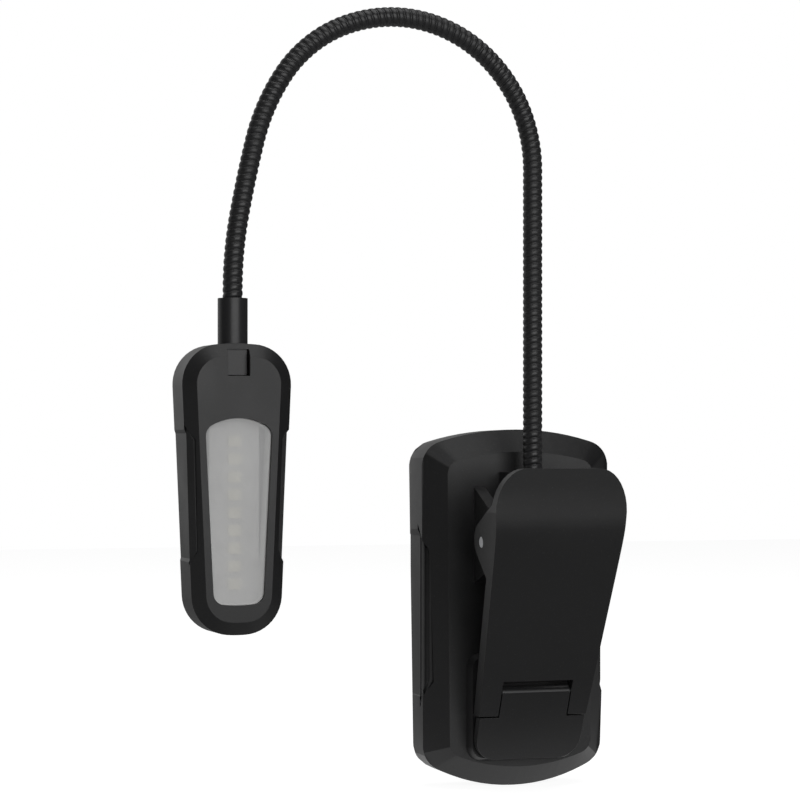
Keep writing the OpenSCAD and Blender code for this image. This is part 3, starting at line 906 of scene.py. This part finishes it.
@dataclass(frozen=True)
class Board(Finish):
    """A circuit board: solder mask over a faint pattern of tracks, with the glass weave just showing."""
    track: tuple[float, float, float] = (0.05, 0.26, 0.12)

    def paint(self, net: Net, shader: bpy.types.Node) -> None:
        """Tracks from straight-sided cells, weave in the bump.

        Args:
            net: The material's node net.
            shader: The material's shader.
        """
        place = net.add("ShaderNodeTexCoord").outputs["Object"]
        cells = net.add("ShaderNodeTexVoronoi", distance="CHEBYCHEV", feature="DISTANCE_TO_EDGE")
        net.link(place, cells.inputs["Vector"])
        cells.inputs["Scale"].default_value = 320.0
        tracks = net.ramp(cells.outputs["Distance"], 0.06, 0.1, 1.0, 0.0)
        net.link(net.mix(tracks, self.colour, self.track), shader.inputs["Base Color"])
        net.link(net.maths("MULTIPLY_ADD", net.noise(place, 260.0, detail=3.0), 0.15, self.rough),
                 shader.inputs["Roughness"])
        net.link(net.bump(tracks, 0.00003, 0.6), shader.inputs["Normal"])


@dataclass(frozen=True)
class Frosted(Finish):
    """Frosted diffuser: pale, with the light chips behind it just showing."""
    film: float = 0.36

    def paint(self, net: Net, shader: bpy.types.Node) -> None:
        """Fine frost in the bump, with a thin even film that lets the chips show.

        Args:
            net: The material's node net.
            shader: The material's shader.
        """
        place = net.add("ShaderNodeTexCoord").outputs["Object"]
        cloud = net.ramp(net.noise(place, 60.0, detail=4.0, rough=0.6), 0.35, 0.7)
        haze = tuple(0.93 * c for c in self.colour)
        net.link(net.mix(cloud, self.colour, haze), shader.inputs["Base Color"])
        net.link(net.maths("MULTIPLY_ADD", cloud, 0.08, self.rough), shader.inputs["Roughness"])
        net.link(net.bump(net.noise(place, 5200.0, detail=2.0), 0.00001, 0.5), shader.inputs["Normal"])
        shader.inputs["Alpha"].default_value = self.film


@dataclass(frozen=True)
class Crinkled(Finish):
    """Foil or foam: a crumpled or open-celled surface, with painted shade in its hollows."""
    scale: float = 350.0
    depth: float = 0.00012
    metal: float = 0.8

    def paint(self, net: Net, shader: bpy.types.Node) -> None:
        """Creases in the bump, and painted shade that darkens the hollows.

        Args:
            net: The material's node net.
            shader: The material's shader.
        """
        place = net.add("ShaderNodeTexCoord").outputs["Object"]
        cells = net.add("ShaderNodeTexVoronoi")
        net.link(place, cells.inputs["Vector"])
        cells.inputs["Scale"].default_value = self.scale
        fold = net.maths("MULTIPLY_ADD", net.noise(place, self.scale * 2.0, detail=4.0), 0.5,
                         cells.outputs["Distance"])
        # painted shade: the colour goes darker where the crease height is low, in the hollows
        dark = tuple(0.55 * c for c in self.colour)
        net.link(net.mix(fold, dark, self.colour), shader.inputs["Base Color"])
        net.link(net.maths("MULTIPLY_ADD", fold, 0.15, self.rough), shader.inputs["Roughness"])
        net.link(net.bump(fold, self.depth, 0.6), shader.inputs["Normal"])
        shader.inputs["Metallic"].default_value = self.metal


@dataclass(frozen=True)
class Phosphor(Finish):
    """The yellow gel of a light chip, set in its pale package."""
    gel: tuple[float, float, float] = (0.9, 0.86, 0.66)

    def paint(self, net: Net, shader: bpy.types.Node) -> None:
        """Grainy gel with a soft skin.

        Args:
            net: The material's node net.
            shader: The material's shader.
        """
        place = net.add("ShaderNodeTexCoord").outputs["Object"]
        grains = net.noise(place, 7000.0, detail=3.0, rough=0.7)
        net.link(net.mix(net.ramp(grains, 0.3, 0.7), self.colour, self.gel), shader.inputs["Base Color"])
        net.link(net.maths("MULTIPLY_ADD", grains, 0.2, self.rough), shader.inputs["Roughness"])
        net.link(net.bump(grains, 0.00001, 0.4), shader.inputs["Normal"])


SHELL = Moulded("black_plastic", (0.0125, 0.0125, 0.013), 0.42)
COLLAR = Moulded("ferrule_black", (0.0185, 0.0185, 0.0195), 0.36, grain=5200.0, depth=0.000006)
RUBBER = Rubber("soft_rubber", (0.0105, 0.0105, 0.011), 0.62)
STEEL = Metal("steel", (0.9, 0.91, 0.93), 0.45)
COIL = Enamel("neck_coil", (0.02, 0.02, 0.021), 0.32)
SHEATH = Moulded("lead_sheath", (0.02, 0.02, 0.02), 0.55, grain=3000.0)
GREEN_BOARD = Board("green_board", (0.02, 0.13, 0.055), 0.35)
WHITE_BOARD = Board("white_board", (0.66, 0.66, 0.65), 0.4, track=(0.6, 0.6, 0.59))
CHIP = Moulded("chip_black", (0.025, 0.025, 0.027), 0.5, grain=9000.0)
FOIL = Crinkled("cell_foil", (0.5, 0.52, 0.55), 0.35)
FOAM = Crinkled("foam", (0.05, 0.05, 0.055), 0.85, scale=1400.0, depth=0.0002, metal=0.0)
DIFFUSER = Frosted("diffuser", (0.93, 0.93, 0.93), 0.5)
WHITE = Moulded("white_plastic", (0.88, 0.88, 0.87), 0.45, worn=(0.8, 0.8, 0.78), dusty=0.0)
LIGHT_CHIP = Phosphor("light_chip", (0.92, 0.9, 0.82), 0.35)
FINISHES = {f.slot: f for f in (
    SHELL, COLLAR, RUBBER, STEEL, COIL, SHEATH, GREEN_BOARD, WHITE_BOARD, CHIP, FOIL, FOAM, DIFFUSER,
    WHITE, LIGHT_CHIP)}


# ---- the lamp's sub-assemblies -------------------------------------------------------------------


@dataclass
class Base:
    """The rechargeable base: two shells, side grips, jaw pad, button and status light."""
    edge: float = 0.35
    border_twist: float = 17.0
    grip_rim: float = 0.7
    grip_groove: float = 0.35
    pad_rib: float = 0.45
    pad_ribs: int = 7
    pad_rib_share: float = 0.3
    pad_rib_sunk: float = 0.4
    pad_margin: float = 2.0
    pad_corner: float = 2.0
    button_clearance: float = 1.0
    button_steps: tuple[tuple[float, float], ...] = (
        (1.1, 0.0), (0.5, -0.35), (1.6, -0.1), (0.35, 0.22), (0.5, 0.0), (0.35, -0.22))

    def build(self) -> None:
        """Builds every visible piece of the base."""
        self.shells()
        self.grips()
        self.jaw_pad()
        self.button()
        self.status_light()

    def shells(self) -> None:
        """The two moulded shells, with every edge softened."""
        for side in ("rear", "front"):
            shell = Bench.casting(f"base_{side}_shell", f"{side}_shell")
            shell.pick(Part.FACES, lambda c, n: abs(n.x) > 0.45 and abs(c.x) > 19)
            bpy.ops.mesh.dissolve_limited(angle_limit=math.radians(self.border_twist))
            shell.rounded(self.edge, 3, 24)
            shell.done("base", SHELL, [f"base_{side}_shell"], soft_angle=26)

    def grips(self) -> None:
        """The soft inlays in the sides, each with a groove along its rim."""
        for side in ("left", "right"):
            grip = Bench.casting(f"base_grip_{side}", f"side_grip_{side}")
            low, high = box_mm(f"base_grip_{side}")
            middle = (low + high) / 2
            grip.pick(Part.VERTS, lambda c, n: True)
            grip.scale((1, 0.9, 0.985), middle)
            grip.rounded(0.2, 2, 24)
            grip.pick(Part.FACES, lambda c, n: n.x * c.x > 0 and abs(n.x) > 0.93)
            grip.inset(self.grip_rim)
            grip.inset(self.grip_groove, -self.grip_groove)
            grip.inset(self.grip_groove, self.grip_groove * 0.9)
            grip.done("base", RUBBER, [f"base_grip_{side}"])

    def jaw_pad(self) -> None:
        """The ribbed pad that the clip closes on."""
        low, high = box_mm("jaw_pad")
        shape = Outline(high.x, high.x, high.z, low.z, corner=self.pad_corner)
        pad = Bench.panel("jaw_rubber", shape, low.y + self.pad_rib)
        pad.pick(Part.FACES, lambda c, n: True)
        pad.extrude((0, high.y - low.y - self.pad_rib, 0))
        pad.right_out()
        ribs = []
        pitch = (high.z - low.z - 2 * self.pad_margin) / self.pad_ribs
        for i in range(self.pad_ribs):
            z = low.z + self.pad_margin + pitch * (i + 0.5)
            half = self.pad_rib_share * pitch
            ribs.append(Bench.block("rib", (low.x + self.pad_margin, low.y, z - half),
                                    (high.x - self.pad_margin, high.y - self.pad_rib_sunk, z + half)))
        pad.weld(*ribs).rounded(0.15, 2, 30)
        pad.done("base", RUBBER, ["jaw_pad"])

    def button(self) -> None:
        """The power button, dished for a fingertip, with a plain raised ring."""
        low, high = box_mm("power_button")
        radius = (high.x - low.x) / 2 - self.button_clearance
        at = (low + high) / 2
        button = Bench.rod("button_cap", Axis.Y, at, radius, high.y - low.y, 64)
        button.pick(Part.FACES, lambda c, n: n.y > 0.9)
        for width, rise in self.button_steps:
            button.inset(width, rise)
        button.rounded(0.15, 3, 40)
        button.done("button", SHELL, ["power_button"])

    def status_light(self) -> None:
        """The charge light's little domed window."""
        low, high = box_mm("status_light")
        at, radius = (low + high) / 2, (high.x - low.x) / 2
        light = Bench.rod("charge_light", Axis.Y, at, radius, high.y - low.y, 24)
        light.pick(Part.FACES, lambda c, n: n.y > 0.9)
        light.inset(0.3)
        light.rounded(0.18, 3, 40)
        light.done("base", DIFFUSER, ["status_light"])


@dataclass
class Clip:
    """The sprung arm with its fold-out foot and hinge pin."""
    edge: float = 0.5
    pin_edge: float = 0.2

    def build(self) -> None:
        """Builds every visible piece of the clip."""
        self.arm()
        self.foot()
        self.pins()

    def arm(self) -> None:
        """The bent arm that the thumb presses."""
        arm = Bench.casting("clip_arm", "thumb_arm", self.edge, steps=4, flat=0.3)
        arm.done("arm", SHELL, ["clip_arm"])

    def foot(self) -> None:
        """The foot that folds out, and its pad."""
        Bench.casting("clip_foot", "fold_foot", 0.3).done("foot", SHELL, ["clip_foot"])
        Bench.casting("foot_pad", "foot_rubber", 0.2).done("foot", RUBBER, ["foot_pad"])

    def pins(self) -> None:
        """The hinge pin, with its ends turned and chamfered."""
        low, high = box_mm("clip_pin")
        pin = Bench.rod("hinge_pin", Axis.X, (low + high) / 2, (high.y - low.y) / 2, high.x - low.x, 40)
        pin.rounded(self.pin_edge, 3, 40)
        pin.done("base", STEEL, ["clip_pin"])


@dataclass
class Knot:
    """A bending point of the neck: its place, and which way the neck heads there, in degrees."""
    at: Vector
    heading: float


@dataclass
class Neck:
    """The flexible neck: two wires wound round each other, in one piece for each bending point."""
    pitch: float = 1.78
    wire_wide: float = 1.58
    wire_deep: float = 0.66
    wedge: float = 0.34
    wedge_in: float = 0.2
    turn_steps: int = 22
    sides: int = 12
    root: float = 6.0
    tail: float = 5.0
    reach: float = 8.0

    def knots(self) -> list[Knot]:
        """The bending points in order, with headings that make each link an even arc.

        Returns:
            The knots from the base to the head.
        """
        joints = {j["parent"]: j for j in frame["joints"]
                  if j["child"].startswith("link_") or j["child"] == "head"}
        places, body = [], "base"
        while body in joints:
            places.append(Vector(joints[body]["pos_m"]) / MM)
            body = joints[body]["child"]
        found = [Knot(places[0], 0.0)]
        for near, far in zip(places, places[1:]):
            step = far - near
            chord = math.degrees(math.atan2(-step.x, step.z))
            turn = (chord - found[-1].heading + 180) % 360 - 180
            found.append(Knot(far, found[-1].heading + 2 * turn))
        return found

    @staticmethod
    def ahead(knot: Knot) -> Vector:
        """The direction that the neck heads in at a knot."""
        a = math.radians(knot.heading)
        return Vector((-math.sin(a), 0, math.cos(a)))

    def line(self, knots: list[Knot]) -> tuple[bpy.types.Object, list[float]]:
        """The neck's centre line as a curve, with the run of each knot along it.

        Args:
            knots: The bending points.

        Returns:
            The curve's object and each knot's run.
        """
        first, last = knots[0], knots[-1]
        ends = [Knot(first.at - self.root * self.ahead(first), 0.0), *knots,
                Knot(last.at + self.tail * self.ahead(last), last.heading)]
        data = bpy.data.curves.new("neck_line", "CURVE")
        data.dimensions = "3D"
        data.resolution_u = 32
        spline = data.splines.new("BEZIER")
        spline.bezier_points.add(len(ends) - 1)
        runs = [0.0]
        for i, (point, knot) in enumerate(zip(spline.bezier_points, ends)):
            before = (knot.at - ends[i - 1].at).length if i else 1.0
            after = (ends[i + 1].at - knot.at).length if i + 1 < len(ends) else 1.0
            point.handle_left_type = point.handle_right_type = "FREE"
            point.co = knot.at
            point.handle_left = knot.at - self.ahead(knot) * before / 3
            point.handle_right = knot.at + self.ahead(knot) * after / 3
            if i:
                half = math.radians(abs(knot.heading - ends[i - 1].heading)) / 2
                runs.append(runs[-1] + before * (half / math.sin(half) if half > 1e-4 else 1.0))
        obj = bpy.data.objects.new("neck_line", data)
        bpy.context.scene.collection.objects.link(obj)
        return obj, runs[1:-1]

    def wire(self, name: str, radius: float, wide: float, deep: float, offset: float,
             length: float) -> Bench:
        """One wire wound along X.

        Args:
            name: The wire's name.
            radius: Outside radius of the winding.
            wide: Width of the wire along the neck.
            deep: Depth of the wire.
            offset: Where along the neck the winding starts.
            length: How long the winding is.

        Returns:
            The bench that holds it, with closed ends.
        """
        wire = Bench.ring(name, (0, 0, 0), 0.5, self.sides)
        wire.pick(Part.VERTS, lambda c, n: True)
        wire.scale((wide, deep, 1), (0, 0, 0))
        wire.move((offset, radius - deep / 2, 0))
        turns = math.ceil(length / self.pitch) + 1
        wire.apply("SCREW", axis="X", angle=math.tau, screw_offset=self.pitch, iterations=turns,
                   steps=self.turn_steps, render_steps=self.turn_steps, use_merge_vertices=False,
                   use_smooth_shade=True, use_normal_calculate=True)
        wire.pick_rim(lambda c, n: True)
        wire.fill()
        return wire.right_out()

    def winding(self, length: float) -> Bench:
        """The straight neck along X, with both its wires.

        Args:
            length: How long it is.

        Returns:
            The bench that holds it.
        """
        radius = self.outside()
        outer = self.wire("winding", radius, self.wire_wide, self.wire_deep, -self.pitch, length)
        size = 2 * self.wedge
        inner = self.wire("wedge", radius - self.wedge_in, size, size, -self.pitch / 2, length)
        return outer.join(inner)

    def outside(self) -> float:
        """Outside radius of the neck, from the frame's first link."""
        low, high = box_mm("neck_link_1")
        return (high.y - low.y) / 2

    def build(self) -> None:
        """Winds the neck, cuts it mid-link, and lays each length along the line between its bodies."""
        knots = self.knots()
        curve, runs = self.line(knots)
        total = runs[-1] + self.tail
        whole = self.winding(total)
        cuts = [0.0, *[(a + b) / 2 for a, b in zip(runs, runs[1:])], total]
        bodies = ["base", *[f"link_{i}" for i in range(1, len(knots))], "head"]
        for i, knot in enumerate(knots):
            piece = whole.copy(f"neck_coil_{i + 1}")
            piece.slice((cuts[i], 0, 0), (-1, 0, 0))
            piece.slice((cuts[i + 1], 0, 0), (1, 0, 0))
            piece.apply("CURVE", object=curve, deform_axis="POS_X")
            along = self.ahead(knot) * self.reach
            ends = (bodies[i], bodies[i + 1], (knot.at - along) * MM, (knot.at + along) * MM)
            hidden = ["neck_anchor"] if i == 0 else [f"neck_link_{i}"]
            if i == len(knots) - 1:
                hidden.append("neck_tip")
            piece.done(bodies[i], COIL, hidden, blend=ends, soft_angle=60)
        for leftover in (whole.obj, curve):
            bpy.data.objects.remove(leftover)


@dataclass
class Head:
    """The flat light head: two shells, lens, light chips, grips, screws and the neck's collar."""
    edge: float = 0.35

    def build(self) -> None:
        """Builds every visible piece of the head."""
        self.shells()
        self.collar()
        self.lens()
        self.chips()
        self.screws()

    def shells(self) -> None:
        """The rear shell, the bezel and the soft inlays."""
        Bench.casting("head_rear_shell", "head_back", self.edge).done("head", SHELL, ["head_rear_shell"])
        Bench.casting("head_bezel", "head_front", self.edge).done("head", SHELL, ["head_bezel"])
        for side in ("left", "right"):
            Bench.casting(f"head_grip_{side}", f"head_inlay_{side}", 0.18).done(
                "head", RUBBER, [f"head_grip_{side}"])

    def collar(self) -> None:
        """The collar that the neck runs into, with its locking tab."""
        Bench.casting("neck_ferrule", "neck_collar", 0.3).done("head", COLLAR, ["neck_ferrule"])

    def lens(self) -> None:
        """The frosted window."""
        Bench.casting("head_lens", "lens", 0.2).done("head", DIFFUSER, ["head_lens"])

    def chips(self) -> None:
        """The row of light chips, one modelled and copied."""
        low, high = box_mm("led_chips")
        count = 9
        size = (high.x - low.x, high.y - low.y, 2.8)
        pitch = (high.z - low.z - size[2]) / (count - 1)
        chip = Bench.block("light_chips", (low.x, low.y, low.z), (high.x, high.y, low.z + size[2]))
        chip.rounded(0.12, 2, 40)
        chip.pick(Part.FACES, lambda c, n: n.y < -0.95)
        chip.inset(0.35)
        chip.inset(0.12, -0.15)
        others = []
        for i in range(1, count):
            other = chip.copy(f"chip_{i}")
            other.pick(Part.VERTS, lambda c, n: True)
            other.move((0, 0, i * pitch))
            others.append(other)
        chip.join(*others).done("head", LIGHT_CHIP, ["led_chips"])

    def screws(self) -> None:
        """The screws in the back of the head."""
        Bench.casting("head_screws", "back_screws", 0.15).done("head", STEEL, ["head_screws"])


@dataclass
class Inside:
    """Frame parts whose shape is right: each gets its finish and keeps its mesh."""

    def dress(self) -> None:
        """Gives every part that still shows its finish from the record."""
        for part in frame["record"]["subparts"]:
            node = frame["nodes"][part["node"]]
            if not node.hide_render:
                node.data.materials.clear()
                node.data.materials.append(FINISHES[part["material_slot"]].material())
                LOG.info("%-20s keeps its mesh, %s", part["node"], part["material_slot"])


@dataclass
class Studio:
    """The floor, the lights and the camera."""
    camera_at: tuple[float, float, float] = (-286.2, -721.0, 73.1)
    camera_turn: float = 19.2
    lens: float = 130.5
    rise: float = 0.04
    floor_half: float = 1.6
    floor_shade: float = 0.4
    floor_glow: float = 0.55
    floor_seen: float = 0.9
    glow_from: float = -0.03
    glow_full: float = 0.005
    glow_near: float = 0.04
    glow_far: float = 0.12
    glow_left: float = 0.15
    sky_way: tuple[float, float, float] = (-0.33, 0.94, 0.0)
    sky_edge: tuple[float, float] = (0.5, 0.95)
    sky_dim: float = 0.05
    sky_bright: float = 0.6

    def build(self) -> None:
        """Sets the whole studio up."""
        self.camera()
        self.floor()
        self.lights()
        self.sky()
        bpy.context.scene.view_settings.view_transform = "Standard"

    def camera(self) -> None:
        """A long lens, level, from the left of the clip side."""
        data = bpy.data.cameras.new("camera")
        data.lens = self.lens
        data.shift_y = self.rise
        camera = bpy.data.objects.new("camera", data)
        camera.location = Vector(self.camera_at) * MM
        camera.rotation_euler = (math.pi / 2, 0, -math.radians(self.camera_turn))
        bpy.context.scene.collection.objects.link(camera)
        bpy.context.scene.camera = camera

    def floor(self) -> None:
        """A plain pale floor under the lamp, which glows close behind it, as a lit table does."""
        bpy.ops.object.select_all(action="DESELECT")
        bpy.ops.mesh.primitive_plane_add(size=2 * self.floor_half, location=(0, 0, CAD_BOX[0].z))
        floor = bpy.context.object
        floor.name = "floor"
        material = bpy.data.materials.new("floor")
        material.use_nodes = True
        net = Net(material.node_tree)
        shader = material.node_tree.nodes["Principled BSDF"]
        shader.inputs["Base Color"].default_value = (self.floor_shade,) * 3 + (1,)
        shader.inputs["Roughness"].default_value = 0.9
        shader.inputs["Specular IOR Level"].default_value = 0.1
        place = net.add("ShaderNodeTexCoord").outputs["Object"]
        axes = net.add("ShaderNodeSeparateXYZ")
        net.link(place, axes.inputs[0])
        reach = net.add("ShaderNodeVectorMath", operation="LENGTH")
        net.link(place, reach.inputs[0])
        behind = net.ramp(axes.outputs["Y"], self.glow_from, self.glow_full, 0.0, self.floor_glow)
        close = net.ramp(reach.outputs["Value"], self.glow_near, self.glow_far, 1.0, self.glow_left)
        lit = net.maths("MULTIPLY", behind, close)
        seen = net.add("ShaderNodeLightPath").outputs["Is Camera Ray"]
        glow = net.maths("MAXIMUM", lit, net.maths("MULTIPLY", seen, self.floor_seen))
        net.link(glow, shader.inputs["Emission Strength"])
        shader.inputs["Emission Color"].default_value = (1.0, 1.0, 1.0, 1.0)
        floor.data.materials.append(material)

    @staticmethod
    def softbox(name: str, at: Sequence[float], size: tuple[float, float], glow: float) -> None:
        """A soft light panel that faces the lamp.

        Args:
            name: The light's name.
            at: Its place, in metres.
            size: Its width and height.
            glow: Its brightness as seen from the lamp.
        """
        data = bpy.data.lights.new(name, "AREA")
        data.shape = "RECTANGLE"
        data.size, data.size_y = size
        data.energy = glow * math.pi * size[0] * size[1]
        light = bpy.data.objects.new(name, data)
        light.location = at
        aim = Vector((-0.04, 0, 0.08)) - Vector(at)
        light.rotation_euler = aim.to_track_quat("-Z", "Y").to_euler()
        light.visible_camera = False
        bpy.context.scene.collection.objects.link(light)

    def lights(self) -> None:
        """Soft light from above and from the front."""
        self.softbox("top", (0.1, -0.1, 1.2), (1.1, 1.1), 1.6)
        self.softbox("front", (0.0, -1.4, 0.42), (1.5, 0.9), 2.3)

    def sky(self) -> None:
        """Pale surroundings, which light the lamp from behind on the left and are dim elsewhere."""
        world = bpy.data.worlds.new("surroundings")
        world.use_nodes = True
        bpy.context.scene.world = world
        net = Net(world.node_tree)
        shader = world.node_tree.nodes["Background"]
        way = net.add("ShaderNodeTexCoord").outputs["Generated"]
        dot = net.add("ShaderNodeVectorMath", operation="DOT_PRODUCT")
        net.link(way, dot.inputs[0])
        dot.inputs[1].default_value = Vector(self.sky_way).normalized()
        dim = net.ramp(dot.outputs["Value"], *self.sky_edge, self.sky_dim, self.sky_bright)
        seen = net.add("ShaderNodeLightPath").outputs["Is Camera Ray"]
        net.link(net.mix(seen, net.mix(dim, (0, 0, 0), (1, 1, 1)), (1.0, 1.0, 1.0)), shader.inputs["Color"])


def main() -> None:
    """Builds the studio, then the lamp from the base to the head."""
    logging.basicConfig(level=logging.INFO, format="%(message)s")
    Studio().build()
    Base().build()
    Clip().build()
    Neck().build()
    Head().build()
    Inside().dress()


if __name__ == "__main__":
    main()
